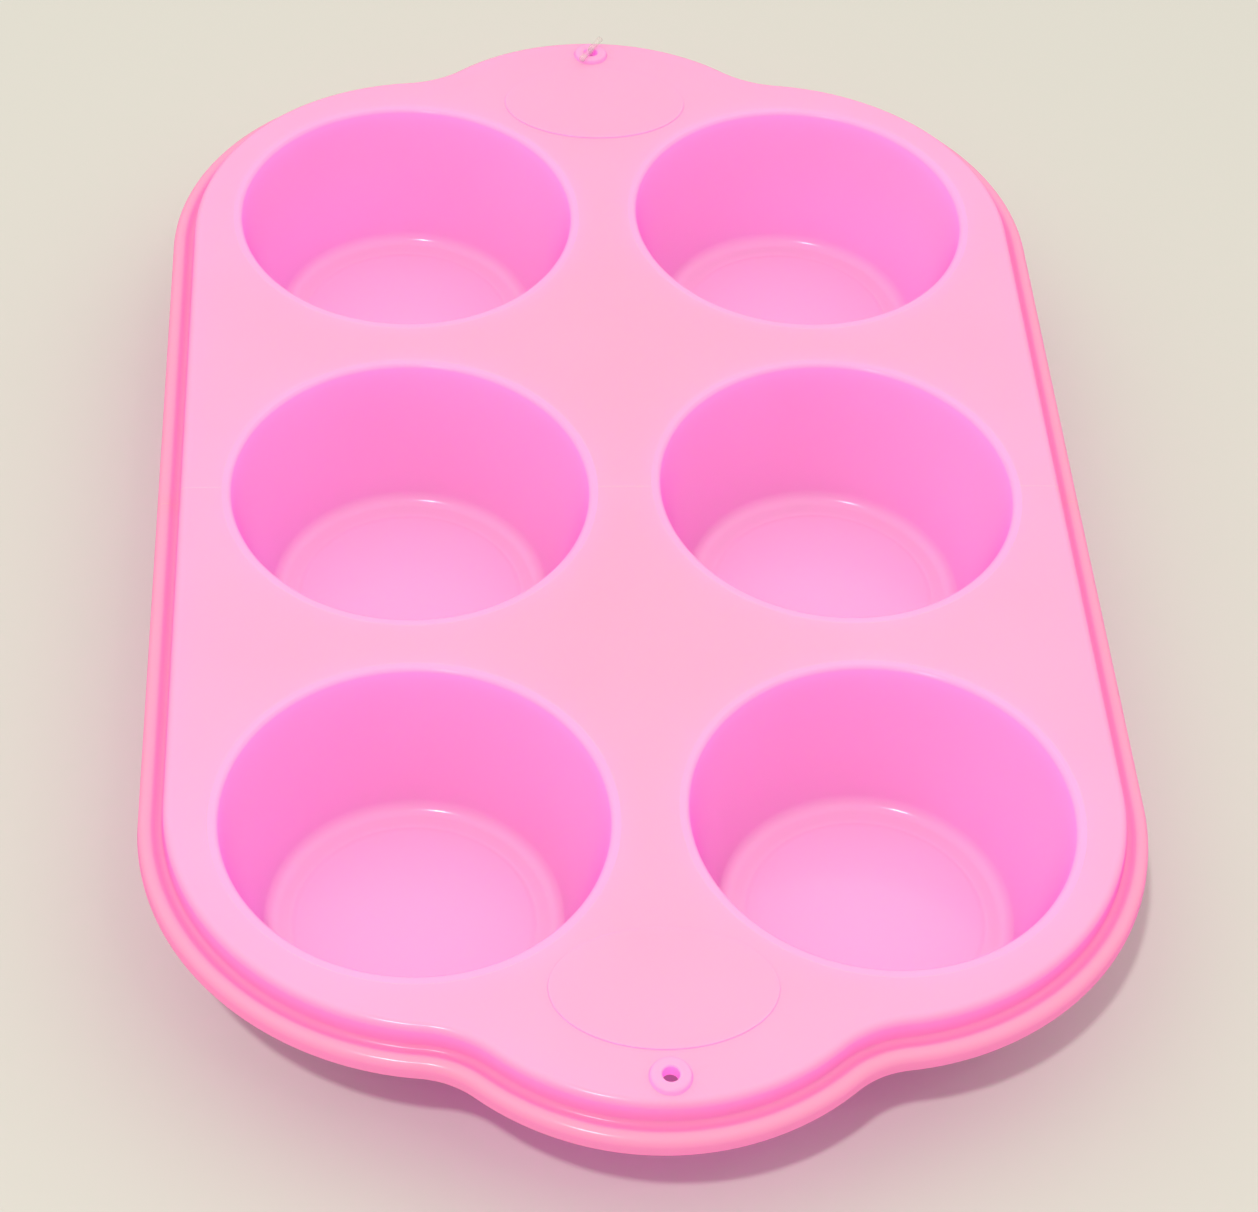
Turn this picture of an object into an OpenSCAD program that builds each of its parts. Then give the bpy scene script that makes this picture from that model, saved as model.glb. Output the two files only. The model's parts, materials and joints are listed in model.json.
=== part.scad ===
// Silicone soap mould with six tapered round cavities, in three rows of two.
// Millimetres, +Z up. The origin is the middle of the footprint, on the plane that the mould
// stands on. X runs across the mould, +Y to its rear end, where the tag pin is.
// The moulding is divided where it bends: at the two webs between the rows, and round each floor.

/* [Cavities] */
// Radius of a cavity's mouth
mouth_r = 35; // [33:0.5:35.5]
// Radius of the flat part of a cavity's floor
floor_r = 25; // [20:0.5:27]
// Depth of a cavity, from the deck to its floor
cavity_depth = 31; // [24:1:40]
// Rounding between a cavity's wall and its floor
heel_r = 3; // [1:0.5:5]
// Rounding of a cavity's lip
lip_r = 1; // [0.5:0.1:1.5]
// Distance between the two columns of cavities
pitch_x = 84.4; // [82:0.2:88]
// Distance between neighbouring rows of cavities
pitch_y = 83.4; // [82:0.2:88]

/* [Skin] */
// Thickness of the silicone in the deck, the walls and the floors
skin_t = 1.8; // [1.2:0.1:2.2]
// Width of the ring that stays round a floor when the floor is pushed up
ring_w = 2; // [1.5:0.5:4]
// Height that the middle of a floor stands clear of the table
floor_lift = 0.3; // [0.2:0.1:0.6]

/* [Outline] */
// Half the width across the step, without the rim
half_w = 87.2; // [86:0.2:92]
// Half the length across the step at the corners, without the tabs
half_l = 129.8; // [128:0.2:134]
// Radius of the four corners
corner_r = 51; // [45:0.5:54]
// Distance from the middle to the tip of a tab, across the step
tab_l = 145.4; // [145.2:0.2:148]
// Radius of a tab's round end
tab_r = 46; // [42:0.5:50]
// Radius of the hollow curve between a tab and a corner
neck_r = 22; // [16:0.5:26]

/* [Rim] */
// Rounding of the shoulder where the deck turns down
shoulder_r = 1.5; // [1:0.1:1.8]
// Depth of the gutter below the deck
step_h = 5; // [4:0.2:6]
// Radius of the gutter
gutter_r = 1; // [0.8:0.1:1.2]
// Radius of the bead round the edge
bead_r = 1.75; // [1.5:0.05:2]
// Height of the whole rim
rim_h = 8; // [7.5:0.1:9]

/* [Details] */
// Distance of the hanging eyelets from the middle
eyelet_y = 139.8; // [138.4:0.1:140.1]
// Outer radius of an eyelet's ring
eyelet_r = 3.7; // [3:0.1:3.9]
// Radius of the hanging hole
hole_r = 1.5; // [1.2:0.05:1.8]
// Height that an eyelet stands above the deck
eyelet_h = 1; // [0.4:0.1:1.4]
// Distance of the blank oval plates from the middle
plate_y = 121.7; // [121:0.1:123]
// Half the length of an oval plate
plate_a = 20; // [16:0.5:20]
// Half the width of an oval plate
plate_b = 12.8; // [10:0.1:12.9]
// Height that an oval plate stands above the deck
plate_h = 0.3; // [0.2:0.1:0.6]
// Length of the tag pin's cross bar
bar_l = 10.4; // [8:0.2:11]
// Diameter of the tag pin's cross bar
bar_d = 1.5; // [1.2:0.1:1.6]
// Diameter of the tag pin's stem
stem_d = 0.9; // [0.6:0.1:1.1]
// Length of stem left below the deck
stem_l = 6; // [4:0.5:12]
// Direction of the cross bar, from +X
bar_turn = 62; // [0:1:180]

/* [Hidden] */

deck_pink = [1.0, 0.70, 0.84];
rim_pink = [1.0, 0.60, 0.80];
wall_pink = [0.97, 0.50, 0.78];
floor_pink = [1.0, 0.64, 0.86];
tag_clear = [0.92, 0.90, 0.88, 0.7];

// Clear space between parts that move against each other
move_gap = 0.3;
// Slit between two rows of the deck, at the line they bend on
row_slit = 0.2;
arc_fn = 120;
thin_fn = 32;
// Half the side of a square that the whole deck fits in
reach = 150;

deck_z = cavity_depth + skin_t;
bend_y = pitch_y / 2;
panel_r = floor_r - ring_w;
collar_r = mouth_r + lip_r + 1;

// Centres of the corner, tab and neck arcs in the first quarter of the outline. The neck's
// centre is one corner of a triangle whose other two corners are the tab's and the corner's.
corner_c = [half_w - corner_r, half_l - corner_r];
tab_c = [0, tab_l - tab_r];
gap = corner_c - tab_c;
gap_l = norm(gap);
to_tab = tab_r + neck_r;
to_corner = corner_r + neck_r;
along = (to_tab * to_tab - to_corner * to_corner + gap_l * gap_l) / (2 * gap_l);
aside = sqrt(to_tab * to_tab - along * along);
neck_c = tab_c + along * gap / gap_l + aside * [-gap.y, gap.x] / gap_l;

function bearing(from, to) = atan2(to.y - from.y, to.x - from.x);
corner_end = bearing(corner_c, neck_c);
tab_start = bearing(tab_c, neck_c);

// Points on an arc, from angle a to angle b in n steps
function arc(c, r, a, b, n) =
  [for (i = [0:n]) let (t = a + (b - a) * i / n) c + r * [cos(t), sin(t)]];

function mirrored(points, sx, sy) = [for (p = points) [sx * p.x, sy * p.y]];
function reversed(points) = [for (i = [len(points) - 1:-1:0]) points[i]];
function rest(points) = [for (i = [1:len(points) - 1]) points[i]];

// The outline from the end of the corner, through the neck, to the middle of the tab, u outside
// the step
function half_tab(u) = concat(
  arc(neck_c, neck_r - u, corner_end - 180, tab_start - 180, 7),
  rest(arc(tab_c, tab_r + u, tab_start, 90, 10))
);

// One quarter of the outline, from the side round to the middle of the tab
function quarter(u) = concat(
  [[half_w + u, 0]],
  arc(corner_c, corner_r + u, 0, corner_end, 28),
  rest(half_tab(u))
);

module outline(u) {
  q = quarter(u);
  polygon(concat(
    q,
    reversed(mirrored(q, -1, 1)),
    mirrored(q, -1, -1),
    reversed(mirrored(q, 1, -1))
  ));
}

// Section of the rim: x is the distance outside the step, y the height over the deck. The top
// runs down the step, through the gutter and over the bead; the underside comes back to the deck.
step_draft = 0.25;
to_bead = [0.6, -0.8];
edge_proud = 0.15;
edge_ease = 0.3;
gutter_c = [step_draft + gutter_r, gutter_r - step_h];
bead_c = gutter_c + (gutter_r + bead_r) * to_bead;
bead_from = bearing(bead_c, gutter_c);
rim_w = bead_c.x + bead_r + edge_proud;
function rim_section() = concat(
  arc([-shoulder_r, -shoulder_r], shoulder_r, 90, 0, 6),
  arc(gutter_c, gutter_r, 180, 180 + bead_from, 6),
  arc(bead_c, bead_r, bead_from, 0, 9),
  [[rim_w, edge_ease - rim_h], [rim_w - edge_ease, -rim_h], [gutter_c.x + edge_ease, -rim_h]],
  [[gutter_c.x, -step_h - skin_t]],
  arc(gutter_c, gutter_r + skin_t, 260, 190, 4),
  [[-shoulder_r, -skin_t]]
);

// A stretch of rim round an arc that starts on the right
module rim_arc(centre, r, sweep) {
  translate([centre.x, centre.y, deck_z])
    rotate_extrude(angle = sweep, $fn = arc_fn)
      polygon([for (p = rim_section()) [r + p.x, p.y]]);
}

// A straight stretch of rim along the right side, between two values of y
module rim_side(from, to) {
  translate([half_w, to, deck_z])
    rotate([90, 0, 0])
      linear_extrude(to - from)
        polygon(rim_section());
}

// The rim of the rear right corner, from the bend line to the neck
module corner_rim(side, end) {
  color(rim_pink)
    scale([side, end, 1]) {
      rim_side(bend_y + row_slit / 2, corner_c.y);
      rim_arc(corner_c, corner_r, corner_end);
    }
}

// The rim round the rear tab, neck to neck, as rings of the section along the outline
module tab_rim(end) {
  lines = [
    for (p = rim_section()) let (half = half_tab(p.x))
      [for (q = concat(half, rest(reversed(mirrored(half, -1, 1))))) [q.x, q.y, deck_z + p.y]]
  ];
  n = len(lines);
  m = len(lines[0]);
  quads = [for (j = [0:n - 1], k = [0:m - 2]) [j * m + k, (j + 1) % n * m + k]];
  color(rim_pink)
    scale([1, end, 1])
      polyhedron(
        points = [for (line = lines) each line],
        faces = concat(
          [for (q = quads) [q[0], q[0] + 1, q[1] + 1]],
          [for (q = quads) [q[0], q[1] + 1, q[1]]],
          [[for (j = [0:n - 1]) j * m]],
          [[for (j = [n - 1:-1:0]) j * m + m - 1]]
        ),
        convexity = 6
      );
}

module side_rim(side) {
  color(rim_pink)
    scale([side, 1, 1])
      rim_side(-bend_y + row_slit / 2, bend_y - row_slit / 2);
}

// Deck between two values of y, with its openings for the cups and the eyelets
module deck(from, to) {
  color(deck_pink)
    translate([0, 0, deck_z - skin_t])
      linear_extrude(skin_t)
        difference() {
          intersection() {
            outline(-shoulder_r);
            translate([-reach, from]) square([2 * reach, to - from]);
          }
          for (column = [-1, 1], row = [-1, 0, 1])
            translate([column * pitch_x / 2, row * pitch_y])
              circle(r = collar_r, $fn = arc_fn);
          for (end = [-1, 1])
            translate([0, end * eyelet_y]) circle(r = eyelet_r, $fn = arc_fn);
        }
}

// Section of a cup: the wall is a straight line that touches the heel's arc and the lip's arc
heel_c = [floor_r, skin_t + heel_r];
lip_c = [mouth_r + lip_r, deck_z - lip_r];
wall_lean = bearing(heel_c, lip_c) - acos((heel_r + lip_r) / norm(lip_c - heel_c));
foot_out = heel_c + (heel_r + skin_t) * [cos(wall_lean), sin(wall_lean)];
under_deck = deck_z - skin_t;
under_deck_r = foot_out.x + (foot_out.y - under_deck) * tan(wall_lean);

module cup(column, row) {
  color(wall_pink)
    translate([column * pitch_x / 2, row * pitch_y, 0])
      rotate_extrude($fn = arc_fn)
        polygon(concat(
          [[panel_r, skin_t]],
          arc(heel_c, heel_r, -90, wall_lean, 7),
          arc(lip_c, lip_r, 180 + wall_lean, 90, 6),
          [[collar_r, deck_z], [collar_r, under_deck], [under_deck_r, under_deck]],
          arc(heel_c, heel_r + skin_t, wall_lean, -90, 7),
          [[panel_r, 0]]
        ));
}

// The middle of a cavity's floor, which is pushed up from below to press the soap out
module cup_floor(column, row) {
  color(floor_pink)
    translate([column * pitch_x / 2, row * pitch_y, floor_lift])
      cylinder(r = panel_r - move_gap, h = skin_t - floor_lift, $fn = arc_fn);
}

// Thick ring round a hanging hole; its outer top edge is eased
module eyelet(end) {
  ease = 0.3;
  top = skin_t + eyelet_h;
  color(deck_pink)
    translate([0, end * eyelet_y, deck_z - skin_t])
      rotate_extrude($fn = arc_fn)
        polygon([
          [hole_r, 0], [eyelet_r, 0], [eyelet_r, top - ease],
          [eyelet_r - ease, top], [hole_r, top]
        ]);
}

module plate(end) {
  color(deck_pink)
    translate([0, end * plate_y, deck_z])
      linear_extrude(plate_h)
        polygon([for (t = [0:6:354]) [plate_a * cos(t), plate_b * sin(t)]]);
}

// Clear plastic tag pin: the cross bar lies over the rear hole and the stem hangs through it
module tag_pin() {
  seat = deck_z + eyelet_h;
  color(tag_clear) translate([0, eyelet_y, 0]) {
    translate([0, 0, seat + bar_d / 2])
      rotate([0, 0, bar_turn])
        rotate([0, 90, 0])
          cylinder(d = bar_d, h = bar_l, center = true, $fn = thin_fn);
    translate([0, 0, under_deck - stem_l])
      cylinder(d = stem_d, h = stem_l + skin_t + eyelet_h + bar_d / 2, $fn = thin_fn);
  }
}

deck(-bend_y + row_slit / 2, bend_y - row_slit / 2);  // middle_deck
deck(-reach, -bend_y - row_slit / 2);  // front_deck
deck(bend_y + row_slit / 2, reach);  // rear_deck

side_rim(-1);  // left_rim
side_rim(1);  // right_rim
corner_rim(-1, -1);  // front_left_rim
corner_rim(1, -1);  // front_right_rim
tab_rim(-1);  // front_tab_rim
corner_rim(-1, 1);  // rear_left_rim
corner_rim(1, 1);  // rear_right_rim
tab_rim(1);  // rear_tab_rim

cup(-1, -1);  // front_left_cup
cup(1, -1);  // front_right_cup
cup(-1, 0);  // middle_left_cup
cup(1, 0);  // middle_right_cup
cup(-1, 1);  // rear_left_cup
cup(1, 1);  // rear_right_cup

cup_floor(-1, -1);  // front_left_floor
cup_floor(1, -1);  // front_right_floor
cup_floor(-1, 0);  // middle_left_floor
cup_floor(1, 0);  // middle_right_floor
cup_floor(-1, 1);  // rear_left_floor
cup_floor(1, 1);  // rear_right_floor

eyelet(-1);  // front_eyelet
eyelet(1);  // rear_eyelet
plate(-1);  // front_plate
plate(1);  // rear_plate
tag_pin();
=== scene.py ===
"""Looks of the silicone soap mould: the deck and rim as two half skins, six cavities with
push-out floors, and the clear tag pin, under a soft sky with a key lamp and two weak ones."""
import json
from math import acos, asin, atan2, cos, hypot, pi, radians, sin, sqrt, tan

import bmesh
import bpy
import numpy as np
from mathutils import Euler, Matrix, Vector
from mathutils.geometry import delaunay_2d_cdt


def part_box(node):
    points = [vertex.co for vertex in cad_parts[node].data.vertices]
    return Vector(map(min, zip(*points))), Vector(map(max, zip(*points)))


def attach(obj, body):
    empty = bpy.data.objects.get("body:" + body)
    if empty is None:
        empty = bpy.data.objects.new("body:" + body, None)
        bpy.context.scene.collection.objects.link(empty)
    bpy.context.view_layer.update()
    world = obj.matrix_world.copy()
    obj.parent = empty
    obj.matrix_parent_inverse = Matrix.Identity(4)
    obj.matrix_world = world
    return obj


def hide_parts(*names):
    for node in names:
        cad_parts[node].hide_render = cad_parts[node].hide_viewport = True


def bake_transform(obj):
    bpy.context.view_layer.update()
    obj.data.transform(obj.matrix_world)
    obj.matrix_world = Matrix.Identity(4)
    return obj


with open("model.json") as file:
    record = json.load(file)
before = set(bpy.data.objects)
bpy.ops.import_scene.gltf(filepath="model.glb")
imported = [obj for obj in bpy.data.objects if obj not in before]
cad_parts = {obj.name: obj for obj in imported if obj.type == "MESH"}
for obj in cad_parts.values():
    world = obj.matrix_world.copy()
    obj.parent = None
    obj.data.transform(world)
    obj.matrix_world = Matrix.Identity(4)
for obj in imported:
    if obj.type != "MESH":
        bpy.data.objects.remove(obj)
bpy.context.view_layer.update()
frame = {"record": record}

MM = 0.001
ROWS = {"front": -1, "middle": 0, "rear": 1}
COLUMNS = {"left": -1, "right": 1}

# ---------------------------------------------------------------- sizes, in millimetres


def box_mm(node):
    low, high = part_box(node)
    return low / MM, high / MM


mounts = {m["name"]: m for m in frame["record"]["mounts"]}
deck_low, deck_high = box_mm("middle_deck")
cup_low, cup_high = box_mm("front_left_cup")
panel_low, panel_high = box_mm("front_left_floor")
ring_low, ring_high = box_mm("front_eyelet")
plate_low, plate_high = box_mm("front_plate")
pin_low, pin_high = box_mm("tag_pin")
rim_low, rim_high = box_mm("right_rim")

deck_z = deck_high.z
skin = deck_high.z - deck_low.z
column_x = -(cup_low.x + cup_high.x) / 2
row_y = -(cup_low.y + cup_high.y) / 2
collar_r = (cup_high.x - cup_low.x) / 2
floor_z = panel_high.z
floor_lift = panel_low.z
panel_r = (panel_high.x - panel_low.x) / 2
ring_y = -(ring_low.y + ring_high.y) / 2
ring_r = (ring_high.x - ring_low.x) / 2
ring_h = ring_high.z - deck_z
hole_r = mounts["hanging_hole"]["dims"]["r_mm"]
plate_y = -(plate_low.y + plate_high.y) / 2
plate_a = (plate_high.x - plate_low.x) / 2
plate_b = (plate_high.y - plate_low.y) / 2
plate_h = plate_high.z - deck_z
rim_w = rim_high.x - deck_high.x
rim_h = deck_z - rim_low.z

# The rim's section: the shoulder, the gutter and the bead
shoulder_r = 1.5
gutter_r = 1.0
bead_r = 1.75
step_h = 5.0
step_draft = 0.25
to_bead = (0.6, -0.8)
hem_r = 0.35
edge_strip = 0.1
# Half the width of the band of painted shade along the rim's valley
painted_shade_half = 1.5

# The outline
half_w = deck_high.x + shoulder_r
tab_l = -box_mm("front_deck")[0].y + shoulder_r
half_l = 129.8
corner_r = 51.0
tab_r = 46.0
neck_r = 22.0

# A cavity's section: the heel round the floor, the wall and the lip. The fade is the height over
# which the floor's thicker silicone thins out, and the line is the groove round the floor's middle
floor_r = 25.0
heel_r = 3.0
floor_fade = 1.0
line_deep = 0.12
lip_r = 1.0
root_r = 2.0

# The foot of the eyelet ring, and how far the oval plate's edge leans out and in
ring_fillet = 0.2
hole_chamfer = 0.15
plate_foot = 0.12
plate_edge = 0.16

# The gap where two pieces of the same silicone meet, so that their faces never coincide
HAIR = 0.01

# The webs between the rows bend in this band, clear of the collars on both sides
collar_room = 0.2
bend_from = collar_r + collar_room
bend_to = row_y - collar_r - collar_room
BEND_STEPS = 12

# Cast silicone is never quite flat, and the tabs hang a little
tab_sag_from = 112.0
tab_sag_mm = 0.9
wave_mm = 0.10

TURNS = 144
SPECK_SCALE = 48.0


def bearing(a, b):
    return atan2(b[1] - a[1], b[0] - a[0])


def arc(centre, r, a, b, steps):
    """Points on an arc from angle a to angle b."""
    angles = [a + (b - a) * i / steps for i in range(steps + 1)]
    return [(centre[0] + r * cos(t), centre[1] + r * sin(t)) for t in angles]


def circle(centre, r, steps=TURNS):
    return arc(centre, r, 0, 2 * pi, steps)[:-1]


def ellipse(centre, a, b, steps=TURNS):
    return [(centre[0] + a * x, centre[1] + b * y) for x, y in circle((0, 0), 1, steps)]


corner_c = (half_w - corner_r, half_l - corner_r)
tab_c = (0.0, tab_l - tab_r)
gap = (corner_c[0] - tab_c[0], corner_c[1] - tab_c[1])
gap_l = hypot(*gap)
to_tab = tab_r + neck_r
to_corner = corner_r + neck_r
along = (to_tab**2 - to_corner**2 + gap_l**2) / (2 * gap_l)
aside = sqrt(to_tab**2 - along**2)
neck_c = (
    tab_c[0] + (along * gap[0] - aside * gap[1]) / gap_l,
    tab_c[1] + (along * gap[1] + aside * gap[0]) / gap_l,
)
corner_end = bearing(corner_c, neck_c)
tab_start = bearing(tab_c, neck_c)
bend_stops = [bend_from + (bend_to - bend_from) * i / BEND_STEPS for i in range(BEND_STEPS + 1)]
side_stops = [HAIR, 9, 18, 27, *bend_stops, 52, 60, 68]


def half_outline(u):
    """The outline of the rear half, u outside the step, from the right side to the left."""
    quarter = [(half_w + u, y) for y in side_stops]
    quarter += arc(corner_c, corner_r + u, 0, corner_end, 40)
    quarter += arc(neck_c, neck_r - u, corner_end - pi, tab_start - pi, 14)[1:]
    quarter += arc(tab_c, tab_r + u, tab_start, pi / 2, 22)[1:]
    return quarter + [(-x, y) for x, y in reversed(quarter[:-1])]


def rim_section():
    """(distance outside the step, height over the deck), over the top and back underneath."""
    gutter_c = (step_draft + gutter_r, gutter_r - step_h)
    reach = gutter_r + bead_r
    bead_c = (gutter_c[0] + reach * to_bead[0], gutter_c[1] + reach * to_bead[1])
    bead_from = bearing(bead_c, gutter_c)
    outer = rim_w - shoulder_r
    inner = gutter_c[0] + hem_r
    points = [(-shoulder_r - edge_strip, 0)]
    points += arc((-shoulder_r, -shoulder_r), shoulder_r, pi / 2, 0, 10)
    points += arc(gutter_c, gutter_r, pi, pi + bead_from, 10)
    points += arc(bead_c, bead_r, bead_from, 0, 16)[1:]
    points += arc((outer - hem_r, hem_r - rim_h), hem_r, 0, -pi / 2, 5)
    points += arc((inner + hem_r, hem_r - rim_h), hem_r, -pi / 2, -pi, 5)
    points += arc(gutter_c, gutter_r + skin, radians(255), radians(190), 8)
    points += [(-shoulder_r, -skin), (-shoulder_r - edge_strip, -skin)]
    return points


# ---------------------------------------------------------------- mesh building


def sag(x, y, z):
    """The tabs hang a little, and cast silicone is never quite flat. It fades to the floors."""
    past_cups = max(0.0, abs(y) - tab_sag_from) / (tab_l - tab_sag_from)
    waves = sin(x / 31 + 1.1) * sin(y / 43 + 0.4) + 0.6 * sin(x / 17 - y / 23)
    return (z / deck_z) * (wave_mm * waves - tab_sag_mm * past_cups**2)


def loft(loops, closed=True):
    """Quads between neighbouring loops of 3D points."""
    count = len(loops[0])
    spans = count if closed else count - 1
    faces = []
    for j in range(len(loops) - 1):
        for k in range(spans):
            a, b = j * count + k, j * count + (k + 1) % count
            faces.append((a, b, b + count, a + count))
    return [p for loop in loops for p in loop], faces


def at(points, z):
    return [(x, y, z) for x, y in points]


def inside(points, polygon):
    """Which of the points lie inside the polygon."""
    p = np.asarray(points, float)
    q = np.asarray(polygon, float)
    found = np.zeros(len(p), bool)
    for (x0, y0), (x1, y1) in zip(q, np.roll(q, -1, 0)):
        crosses = (y0 > p[:, 1]) != (y1 > p[:, 1])
        if y0 != y1:
            found ^= crosses & (p[:, 0] < (x1 - x0) * (p[:, 1] - y0) / (y1 - y0) + x0)
    return found


def apart(points, polygon, distance):
    """Which of the points are more than a distance from the polygon's corners."""
    p = np.asarray(points, float)[:, None]
    q = np.asarray(polygon, float)[None]
    return ((p - q) ** 2).sum(2).min(1) > distance**2


def sheet(border, holes, z, lines=(), spacing=5.0):
    """A flat triangulated sheet inside a border, without its holes."""
    border_mm = np.asarray(border, float)
    low, high = border_mm.min(0), border_mm.max(0)
    xs = np.arange(low[0] + spacing / 2, high[0], spacing)
    ys = np.arange(low[1] + spacing / 2, high[1], spacing)
    grid = np.array([(x, y) for y in ys for x in xs])
    keep = inside(grid, border) & apart(grid, border, spacing * 0.5)
    for hole in holes:
        keep &= ~inside(grid, hole) & apart(grid, hole, spacing * 0.5)
    for line in lines:
        keep &= apart(grid, line, spacing * 0.6)
    points, edges = [], []
    for loop in (border, *holes):
        first = len(points)
        points += [Vector(p) for p in loop]
        edges += [(first + i, first + (i + 1) % len(loop)) for i in range(len(loop))]
    for line in lines:
        first = len(points)
        points += [Vector(p) for p in line]
        edges += [(first + i, first + i + 1) for i in range(len(line) - 1)]
    points += [Vector(p) for p in grid[keep]]
    found, _, triangles, *_ = delaunay_2d_cdt(points, edges, [], 0, 1e-4)
    centres = [tuple(sum((found[i] for i in t), Vector((0, 0))) / 3) for t in triangles]
    keep = inside(centres, border)
    for hole in holes:
        keep &= ~inside(centres, hole)
    return [(p.x, p.y, z) for p in found], [t for t, k in zip(triangles, keep) if k]


def place_object(name, data):
    obj = bpy.data.objects.new(name, data)
    bpy.context.scene.collection.objects.link(obj)
    return obj


def finish_mesh(bm, name):
    """Turn a bmesh in millimetres into an object in metres, with the sag put in."""
    for v in bm.verts:
        v.co.z += sag(*v.co)
        v.co *= MM
    mesh = bpy.data.meshes.new(name)
    bm.to_mesh(mesh)
    bm.free()
    return place_object(name, mesh)


def make(name, parts, end=1, sharp=35.0):
    """One object from lofts and sheets that share their edges. end = -1 turns it to the front."""
    bm = bmesh.new()
    for points, faces in parts:
        verts = [bm.verts.new((x, y * end, z)) for x, y, z in points]
        for face in faces:
            bm.faces.new([verts[i] for i in dict.fromkeys(face)])
    bmesh.ops.remove_doubles(bm, verts=bm.verts, dist=1e-3)
    loose = [v for v in bm.verts if not v.link_faces]
    bmesh.ops.delete(bm, geom=loose, context="VERTS")
    rim = [e for e in bm.edges if e.is_boundary]
    if rim:
        bmesh.ops.holes_fill(bm, edges=rim, sides=0)
    bmesh.ops.recalc_face_normals(bm, faces=bm.faces)
    for face in bm.faces:
        face.smooth = True
    for edge in bm.edges:
        if len(edge.link_faces) == 2:
            edge.smooth = edge.calc_face_angle() < radians(sharp)
    return finish_mesh(bm, name)


def ease(t):
    """Smooth step from 0 to 1."""
    t = np.clip(t, 0, 1)
    return t * t * (3 - 2 * t)


def vertices_mm(obj):
    """The vertices of an object in millimetres, with the sag taken out."""
    points = np.empty(len(obj.data.vertices) * 3)
    obj.data.vertices.foreach_get("co", points)
    points = points.reshape(-1, 3) / MM
    points[:, 2] -= [sag(*p) for p in points]
    return points


def store(obj, name, values):
    obj.data.attributes.new(name, "FLOAT", "POINT").data.foreach_set("value", values)


def mark_rim(obj, outline):
    """Mark the thick silicone past the shoulder, and the valley between the step and the bead,
    where shade is painted into the colour.
    """
    points = vertices_mm(obj)
    flat = points[:, :2]
    out = np.empty(len(flat))
    for i in range(0, len(flat), 2000):
        gaps = ((flat[i:i + 2000, None] - outline[None]) ** 2).sum(2)
        out[i:i + 2000] = np.sqrt(gaps.min(1))
    out[inside(flat, outline)] = 0
    store(obj, "thick", ease(out / shoulder_r))
    # Painted shade: a band along the valley, on the top side only, that darkens the rim's colour
    from_valley = np.abs(out - shoulder_r - step_draft - gutter_r) / painted_shade_half
    on_top = points[:, 2] > deck_z - step_h - 0.5 * skin
    store(obj, "painted_valley_shade", np.where(on_top & (out > shoulder_r), ease(1 - from_valley), 0))


def mark_floor(obj):
    """Mark the floor, which is cast thicker than the wall."""
    store(obj, "thick", ease(1 - (vertices_mm(obj)[:, 2] - floor_z) / floor_fade))


def mark_seams(obj):
    """Mark the upright faces where two pieces of the same silicone meet: no light runs there."""
    places = [(c * column_x, r * row_y) for c in COLUMNS.values() for r in ROWS.values()]
    values = []
    for face in obj.data.polygons:
        x, y, _ = face.center / MM
        round_cup = any(abs(hypot(x - a, y - b) - collar_r) < 0.06 for a, b in places)
        values.append(float(abs(face.normal.z) < 0.1 and (round_cup or abs(y) < 2 * HAIR)))
    obj.data.attributes.new("seam", "FLOAT", "FACE").data.foreach_set("value", values)


def weigh_normals(obj):
    """Large flat faces keep their normals, so that only the narrow curved ones look round."""
    modifier = obj.modifiers.new("normals", "WEIGHTED_NORMAL")
    modifier.keep_sharp = True
    modifier.weight = 50


# ---------------------------------------------------------------- materials


def node(tree, kind, **values):
    made = tree.nodes.new("ShaderNode" + kind)
    for key, value in values.items():
        if hasattr(made, key):
            setattr(made, key, value)
        else:
            made.inputs[key.replace("_", " ")].default_value = value
    return made


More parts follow.
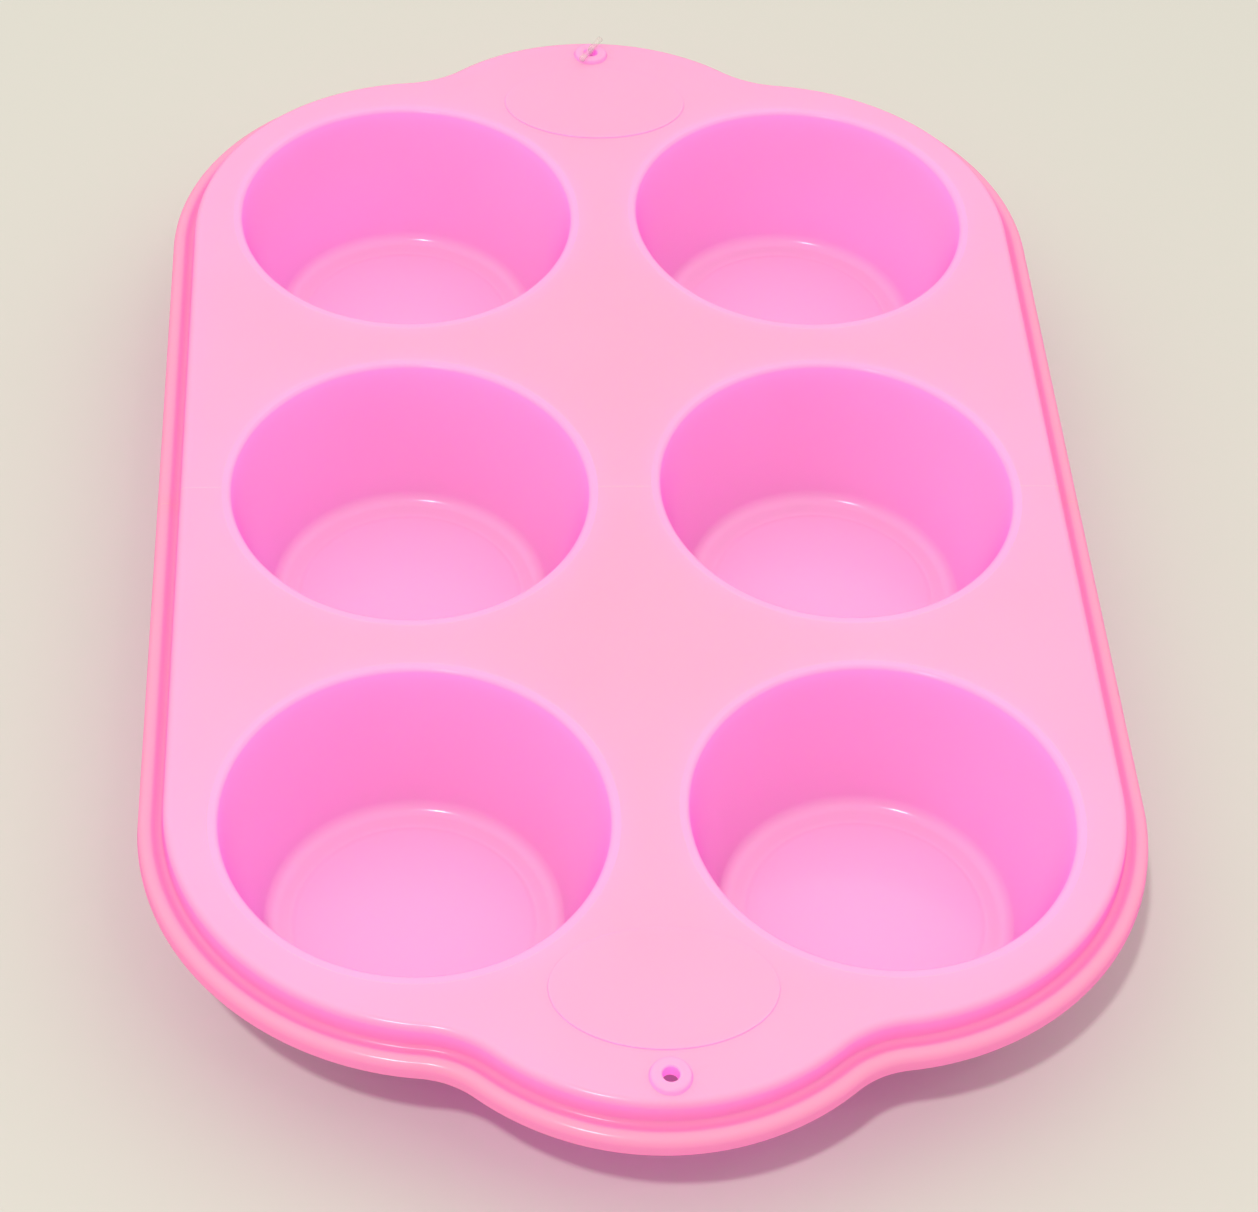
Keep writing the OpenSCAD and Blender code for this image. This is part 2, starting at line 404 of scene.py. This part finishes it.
def silicone(name, pink, deep, through, share, thick, roughness=0.17):
    """Cast silicone: glossy, faintly clouded, with a few specks, and lit through from behind.

    pink and deep are the cloud colours, through is the colour of the light that passes, and share
    is how much passes. thick holds the same for thick silicone, and the colour of the painted
    shade in the rim's valley.
    """
    material = bpy.data.materials.new(name)
    material.use_nodes = True
    tree = material.node_tree
    tree.nodes.clear()
    link = tree.links.new
    place = node(tree, "TexCoord").outputs["Object"]
    clouds = node(tree, "TexNoise", Scale=38.0, Detail=3.0, Roughness=0.55)
    link(place, clouds.inputs["Vector"])
    tint = node(tree, "ValToRGB")
    tint.color_ramp.elements[0].position = 0.3
    tint.color_ramp.elements[0].color = (*deep, 1)
    tint.color_ramp.elements[1].position = 0.7
    tint.color_ramp.elements[1].color = (*pink, 1)
    link(clouds.outputs["Fac"], tint.inputs["Fac"])
    cells = node(tree, "TexVoronoi", Scale=SPECK_SCALE)
    link(place, cells.inputs["Vector"])
    cell_value = node(tree, "SeparateColor")
    link(cells.outputs["Color"], cell_value.inputs["Color"])
    speck_r = node(tree, "MapRange", From_Min=0.45, From_Max=1.0, To_Min=0.0, To_Max=0.016)
    link(cell_value.outputs["Red"], speck_r.inputs["Value"])
    is_speck = node(tree, "Math", operation="LESS_THAN")
    link(cells.outputs["Distance"], is_speck.inputs[0])
    link(speck_r.outputs["Result"], is_speck.inputs[1])
    specked = node(tree, "MixRGB", Color2=(0.80 * pink[0], 0.66 * pink[1], 0.74 * pink[2], 1))
    link(is_speck.outputs["Value"], specked.inputs["Fac"])
    link(tint.outputs["Color"], specked.inputs["Color1"])
    grain = node(tree, "TexNoise", Scale=1500.0, Detail=4.0, Roughness=0.6)
    link(place, grain.inputs["Vector"])
    ripple = node(tree, "TexNoise", Scale=120.0, Detail=2.0)
    link(place, ripple.inputs["Vector"])
    fine = node(tree, "Bump", Strength=0.05, Distance=0.0003)
    link(grain.outputs["Fac"], fine.inputs["Height"])
    bump = node(tree, "Bump", Strength=0.08, Distance=0.0006)
    link(ripple.outputs["Fac"], bump.inputs["Height"])
    link(fine.outputs["Normal"], bump.inputs["Normal"])
    gloss = node(tree, "MapRange", To_Min=roughness - 0.03, To_Max=roughness + 0.05)
    link(ripple.outputs["Fac"], gloss.inputs["Value"])
    surface = node(tree, "BsdfPrincipled", IOR=1.41)
    link(gloss.outputs["Result"], surface.inputs["Roughness"])
    link(bump.outputs["Normal"], surface.inputs["Normal"])
    glow = node(tree, "BsdfTranslucent")
    mix = node(tree, "MixShader")
    thickness = node(tree, "Attribute", attribute_name="thick").outputs["Fac"]
    body = node(tree, "MixRGB", Color2=(*thick["pink"], 1))
    link(thickness, body.inputs["Fac"])
    link(specked.outputs["Color"], body.inputs["Color1"])
    # Painted shade: the valley colour darkens the rim where the groove lies in shade
    if "painted_valley_shade" in thick:
        painted_valley_shade = node(tree, "Attribute", attribute_name="painted_valley_shade").outputs["Fac"]
        shaded = node(tree, "MixRGB", Color2=(*thick["painted_valley_shade"], 1))
        link(painted_valley_shade, shaded.inputs["Fac"])
        link(body.outputs["Color"], shaded.inputs["Color1"])
        body = shaded
    link(body.outputs["Color"], surface.inputs["Base Color"])
    inner = node(tree, "MixRGB", Color1=(*through, 1), Color2=(*thick["through"], 1))
    link(thickness, inner.inputs["Fac"])
    link(inner.outputs["Color"], glow.inputs["Color"])
    passed = node(tree, "MapRange", To_Min=share, To_Max=thick["share"])
    link(thickness, passed.inputs["Value"])
    seam = node(tree, "Attribute", attribute_name="seam").outputs["Fac"]
    not_seam = node(tree, "Math", operation="SUBTRACT")
    not_seam.inputs[0].default_value = 1.0
    link(seam, not_seam.inputs[1])
    open_share = node(tree, "Math", operation="MULTIPLY")
    link(passed.outputs["Result"], open_share.inputs[0])
    link(not_seam.outputs["Value"], open_share.inputs[1])
    link(open_share.outputs["Value"], mix.inputs["Fac"])
    link(surface.outputs["BSDF"], mix.inputs[1])
    link(glow.outputs["BSDF"], mix.inputs[2])
    output = node(tree, "OutputMaterial")
    link(mix.outputs["Shader"], output.inputs["Surface"])
    return material


def clear_plastic(name):
    """Clear polypropylene, a little milky."""
    material = bpy.data.materials.new(name)
    material.use_nodes = True
    tree = material.node_tree
    tree.nodes.clear()
    link = tree.links.new
    place = node(tree, "TexCoord").outputs["Object"]
    milk = node(tree, "TexNoise", Scale=900.0, Detail=2.0)
    link(place, milk.inputs["Vector"])
    tint = node(tree, "ValToRGB")
    tint.color_ramp.elements[0].color = (0.46, 0.40, 0.35, 1)
    tint.color_ramp.elements[1].color = (0.56, 0.50, 0.44, 1)
    link(milk.outputs["Fac"], tint.inputs["Fac"])
    bump = node(tree, "Bump", Strength=0.1, Distance=0.0001)
    link(milk.outputs["Fac"], bump.inputs["Height"])
    surface = node(tree, "BsdfPrincipled", Roughness=0.25, IOR=1.49, Alpha=0.25)
    link(tint.outputs["Color"], surface.inputs["Base Color"])
    link(bump.outputs["Normal"], surface.inputs["Normal"])
    output = node(tree, "OutputMaterial")
    link(surface.outputs["BSDF"], output.inputs["Surface"])
    return material


deck_silicone = silicone(
    "deck_silicone", pink=(1.0, 1.0, 0.80), deep=(1.0, 0.97, 0.77), through=(1.0, 0.27, 0.88),
    share=0.75,
    thick={
        "pink": (0.88, 0.66, 0.58), "through": (1.0, 0.21, 0.78), "share": 0.66,
        # The valley colour is painted shade for the groove between the step and the bead
        "painted_valley_shade": (0.85, 0.42, 0.52),
    },
)
cup_silicone = silicone(
    "cup_silicone", pink=(1.0, 0.66, 0.77), deep=(1.0, 0.635, 0.745), through=(1.0, 0.31, 0.97),
    share=0.6,
    thick={"pink": (1.0, 0.60, 0.76), "through": (1.0, 0.28, 0.95), "share": 0.54},
)
pin_plastic = clear_plastic("clear_plastic")

# ---------------------------------------------------------------- the deck and its rim


def rings(profile, centre, squeeze=(0.0, 0.0)):
    """Loops round a centre from a profile of (radius, height), for the eyelet and the plate."""
    return [at(ellipse(centre, r + squeeze[0], r + squeeze[1]), z) for r, z in profile]


def half_skin(name, end):
    """The rear half of the deck with its rim, from the middle of the mould to the tab."""
    path = half_outline(-shoulder_r - edge_strip)
    section = rim_section()
    parts = [loft([at(half_outline(u), deck_z + z) for u, z in section], closed=False)]

    border = list(path)
    open_r = collar_r + HAIR
    tilt = asin(HAIR / open_r)
    bites = [
        arc((x, 0), open_r, pi - tilt, tilt, TURNS // 2) for x in (-column_x, column_x)
    ]
    bare = [(column_x + open_r + s, HAIR) for s in (2.0, 5.0)]
    border += bites[0] + bites[1] + bare
    holes = [circle((x, row_y), open_r) for x in (-column_x, column_x)]
    side = half_w - shoulder_r - edge_strip
    across = np.linspace(-side, side, 35)
    lines = [[(x, y) for x in across] for y in bend_stops]

    top, under = deck_z, deck_z - skin
    ring_c = (0.0, ring_y)
    plate_c = (0.0, plate_y)
    ring_top = [
        (ring_r + ring_fillet, top),
        (ring_r + 0.06, top + 0.05),
        (ring_r, top + 0.2),
        (ring_r - 0.12, top + ring_h - 0.4),
        (ring_r - 0.28, top + ring_h - 0.14),
        (ring_r - 0.55, top + ring_h - 0.02),
        (ring_r - 0.8, top + ring_h),
        (hole_r + 0.5, top + ring_h),
        (hole_r + 0.2, top + ring_h - 0.04),
        (hole_r, top + ring_h - 0.25),
        (hole_r, under + hole_chamfer),
        (hole_r + hole_chamfer, under),
    ]
    parts.append(loft(rings(ring_top, ring_c)))

    plate_top = [
        (plate_foot, top),
        (0.03, top + 0.03),
        (0.0, top + 0.09),
        (-0.02, top + plate_h - 0.07),
        (-0.07, top + plate_h - 0.02),
        (-plate_edge, top + plate_h),
    ]
    parts.append(loft(rings(plate_top, plate_c, (plate_a, plate_b))))
    inner = ellipse(plate_c, plate_a - plate_edge, plate_b - plate_edge)
    parts.append(sheet(inner, [], top + plate_h))

    foot = ellipse(plate_c, plate_a + plate_foot, plate_b + plate_foot)
    upper = [*holes, circle(ring_c, ring_r + ring_fillet), foot]
    lower = [*holes, circle(ring_c, hole_r + hole_chamfer)]
    parts.append(sheet(border, upper, top, lines))
    parts.append(sheet(border, lower, under, lines))
    for hole in holes:
        parts.append(loft([at(hole, top), at(hole, under)]))
    for bite in bites:
        parts.append(loft([at(bite, top), at(bite, under)], closed=False))

    obj = make(name, parts, end)
    mark_rim(obj, np.array(half_outline(-shoulder_r)) * (1, end))
    mark_seams(obj)
    weigh_normals(obj)
    obj.data.materials.append(deck_silicone)
    return obj


def cavity(name, column, row):
    """A whole cavity: floor, heel, wall and lip, inside and out."""
    heel_c = (floor_r, floor_z + heel_r)
    lip_c = (collar_r - 1, deck_z - lip_r)
    reach = hypot(lip_c[0] - heel_c[0], lip_c[1] - heel_c[1])
    lean = bearing(heel_c, lip_c) - acos((heel_r + lip_r) / reach)
    wall_from = arc(heel_c, heel_r, lean, lean, 1)[0]
    wall_to = arc(lip_c, lip_r, pi + lean, pi + lean, 1)[0]
    outer_from = arc(heel_c, heel_r + skin, lean, lean, 1)[0]
    under = deck_z - skin
    root_x = outer_from[0] - (under - root_r - outer_from[1]) * tan(lean)
    root_c = (root_x + root_r / cos(lean), under - root_r)
    steps = 16
    inner_wall = [
        tuple(a + (b - a) * i / steps for a, b in zip(wall_from, wall_to))
        for i in range(1, steps)
    ]
    outer_to = arc(root_c, root_r, pi + lean, pi + lean, 1)[0]
    outer_wall = [
        tuple(a + (b - a) * i / steps for a, b in zip(outer_to, outer_from))
        for i in range(1, steps)
    ]
    profile = [(0.0, floor_z), (8.0, floor_z), (16.0, floor_z), (21.6, floor_z)]
    profile += [
        (panel_r + out, floor_z - line_deep * drop)
        for out, drop in ((-0.7, 0.1), (-0.35, 0.5), (0.0, 1.0), (0.35, 0.5), (0.7, 0.1))
    ]
    profile += [(panel_r + 1.3, floor_z)]
    profile += arc(heel_c, heel_r, -pi / 2, lean, 10)
    profile += inner_wall
    profile += arc(lip_c, lip_r, pi + lean, pi / 2, 10)
    profile += [(lip_c[0] + 0.4, deck_z), (collar_r, deck_z), (collar_r, under)]
    profile += arc(root_c, root_r, pi / 2, pi + lean, 8)
    profile += outer_wall
    profile += arc(heel_c, heel_r + skin, lean, -pi / 2, 12)
    profile += [(panel_r + 0.8, 0), (panel_r, floor_lift * 0.8), (panel_r - 0.6, floor_lift)]
    profile += [(12.0, floor_lift), (0.0, floor_lift)]
    centre = (column * column_x, row * row_y)
    loops = [at(circle(centre, max(r, 1e-4)), z) for r, z in profile]
    obj = make(name, [loft(loops)])
    weigh_normals(obj)
    obj.data.materials.append(cup_silicone)
    obj.data.materials.append(deck_silicone)
    lip_from = (deck_z - lip_r * 1.05) * MM
    for face in obj.data.polygons:
        face.material_index = int(face.center.z > lip_from)
    mark_floor(obj)
    mark_seams(obj)
    return obj


def tag_pin(name):
    """The clear tag pin: a round-ended bar across the hole, and the stem that holds it."""
    seat = deck_z + ring_h
    bar_r = (pin_high.z - seat) / 2
    bar_l = hypot(pin_high.x - pin_low.x, pin_high.y - pin_low.y) - 2 * bar_r
    turn = atan2(pin_high.y - pin_low.y - 2 * bar_r, pin_high.x - pin_low.x - 2 * bar_r)
    stem_r = 0.45
    bm = bmesh.new()

    def tube(points, radii, sides=20):
        loops = []
        for i, (p, r) in enumerate(zip(points, radii)):
            ahead = Vector(points[min(i + 1, len(points) - 1)])
            behind = Vector(points[max(i - 1, 0)])
            way = (ahead - behind).normalized()
            aside_way = way.orthogonal().normalized()
            other = way.cross(aside_way)
            loops.append([
                bm.verts.new(Vector(p) + r * (cos(t) * aside_way + sin(t) * other))
                for t in (2 * pi * k / sides for k in range(sides))
            ])
        for a, b in zip(loops, loops[1:]):
            for k in range(sides):
                bm.faces.new((a[k], a[(k + 1) % sides], b[(k + 1) % sides], b[k]))
        bm.faces.new(reversed(loops[0]))
        bm.faces.new(loops[-1])

    way = Vector((cos(turn), sin(turn), 0))
    middle = Vector((0, ring_y, seat + bar_r))
    points, radii = [], []
    for i in range(25):
        s = -1 + 2 * i / 24
        end_t = max(0.0, (abs(s) - 0.88) / 0.12)
        points.append(middle + way * s * bar_l / 2)
        radii.append(bar_r * (0.92 + 0.08 * cos(6 * s)) * sqrt(max(0.04, 1 - end_t**2)))
    tube(points, radii)
    stem = []
    for i in range(13):
        drop = i / 12
        bow = 0.35 * sin(pi * drop)
        z = middle.z + (pin_low.z - middle.z) * drop
        stem.append(Vector((bow * way.x, ring_y + bow * way.y, z)))
    tube(stem, [stem_r * (1.0 + 0.5 * max(0, 1 - i / 2)) for i in range(13)])
    for face in bm.faces:
        face.smooth = True
    obj = finish_mesh(bm, name)
    obj.data.materials.append(pin_plastic)
    return obj


for side, end in (("front", -1), ("rear", 1)):
    skin_piece = half_skin(f"{side}_half_skin", end)
    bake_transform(skin_piece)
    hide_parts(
        "middle_deck", "left_rim", "right_rim", f"{side}_deck", f"{side}_left_rim",
        f"{side}_right_rim", f"{side}_tab_rim", f"{side}_eyelet", f"{side}_plate",
    )

for row_name, row in ROWS.items():
    for column_name, column in COLUMNS.items():
        place = f"{row_name}_{column_name}"
        cup = cavity(f"{place}_cavity", column, row)
        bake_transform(cup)
        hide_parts(f"{place}_cup", f"{place}_floor")

pin = tag_pin("tag_pin_piece")
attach(pin, "rear_row")
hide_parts("tag_pin")

# ---------------------------------------------------------------- table, lights and camera


LAMP_DISTANCE = 2.2
TABLE_REACH = 12.0
TABLE_COLOUR = (0.425, 0.412, 0.362, 1)


def table():
    mesh = bpy.data.meshes.new("table")
    reach = TABLE_REACH
    corners = [(-reach, -reach, 0), (reach, -reach, 0), (reach, reach, 0), (-reach, reach, 0)]
    mesh.from_pydata(corners, [], [(0, 1, 2, 3)])
    obj = place_object("table", mesh)
    material = bpy.data.materials.new("pale_table")
    material.use_nodes = True
    surface = material.node_tree.nodes["Principled BSDF"]
    surface.inputs["Base Color"].default_value = TABLE_COLOUR
    surface.inputs["Roughness"].default_value = 0.9
    surface.inputs["Specular IOR Level"].default_value = 0.2
    mesh.materials.append(material)


def lamp(name, azimuth, elevation, size, power):
    """A square lamp that faces the middle of the mould. Azimuth 0 is towards the front."""
    data = bpy.data.lights.new(name, "AREA")
    data.shape = "SQUARE"
    data.size = size
    data.energy = power
    obj = place_object(name, data)
    a, e = radians(azimuth), radians(elevation)
    way = Vector((sin(a) * cos(e), -cos(a) * cos(e), sin(e)))
    obj.location = way * LAMP_DISTANCE
    obj.rotation_euler = way.to_track_quat("Z", "Y").to_euler()


def studio():
    """A key lamp and two weak ones, under a sky that is brighter overhead, behind and beside."""
    lamp("key", -24, 62, 0.09, 25.0)
    lamp("fill", 32, 62, 0.02, 1.0)
    lamp("window", 164, 50, 0.02, 0.3)
    world = bpy.data.worlds.new("tent")
    bpy.context.scene.world = world
    world.use_nodes = True
    tree = world.node_tree
    background = tree.nodes["Background"]
    background.inputs["Color"].default_value = (1.0, 0.985, 0.96, 1)
    way = node(tree, "SeparateXYZ")
    tree.links.new(node(tree, "TexCoord").outputs["Generated"], way.inputs["Vector"])
    rise = node(tree, "MapRange", From_Min=0.0, From_Max=1.0, To_Min=0.36, To_Max=1.42)
    tree.links.new(way.outputs["Z"], rise.inputs["Value"])
    rear = node(tree, "MapRange", From_Min=-1.0, From_Max=1.0, To_Min=0.55, To_Max=1.45)
    tree.links.new(way.outputs["Y"], rear.inputs["Value"])
    aside_x = node(tree, "Math", operation="ABSOLUTE")
    tree.links.new(way.outputs["X"], aside_x.inputs[0])
    sides = node(tree, "MapRange", From_Min=0.0, From_Max=1.0, To_Min=0.85, To_Max=1.9)
    tree.links.new(aside_x.outputs["Value"], sides.inputs["Value"])
    both = node(tree, "Math", operation="MULTIPLY")
    tree.links.new(rise.outputs["Result"], both.inputs[0])
    tree.links.new(rear.outputs["Result"], both.inputs[1])
    brightness = node(tree, "Math", operation="MULTIPLY")
    tree.links.new(both.outputs["Value"], brightness.inputs[0])
    tree.links.new(sides.outputs["Result"], brightness.inputs[1])
    tree.links.new(brightness.outputs["Value"], background.inputs["Strength"])


def camera():
    data = bpy.data.cameras.new("camera")
    data.sensor_width = 36.0
    data.lens = 91.10
    data.clip_start = 0.01
    obj = place_object("camera", data)
    obj.location = (-0.04786, -0.44517, 0.47470)
    obj.rotation_euler = Euler([radians(t) for t in (43.1505, -3.0386, -3.2398)], "XYZ")
    bpy.context.scene.camera = obj


table()
studio()
camera()
bpy.context.scene.view_settings.view_transform = "Standard"
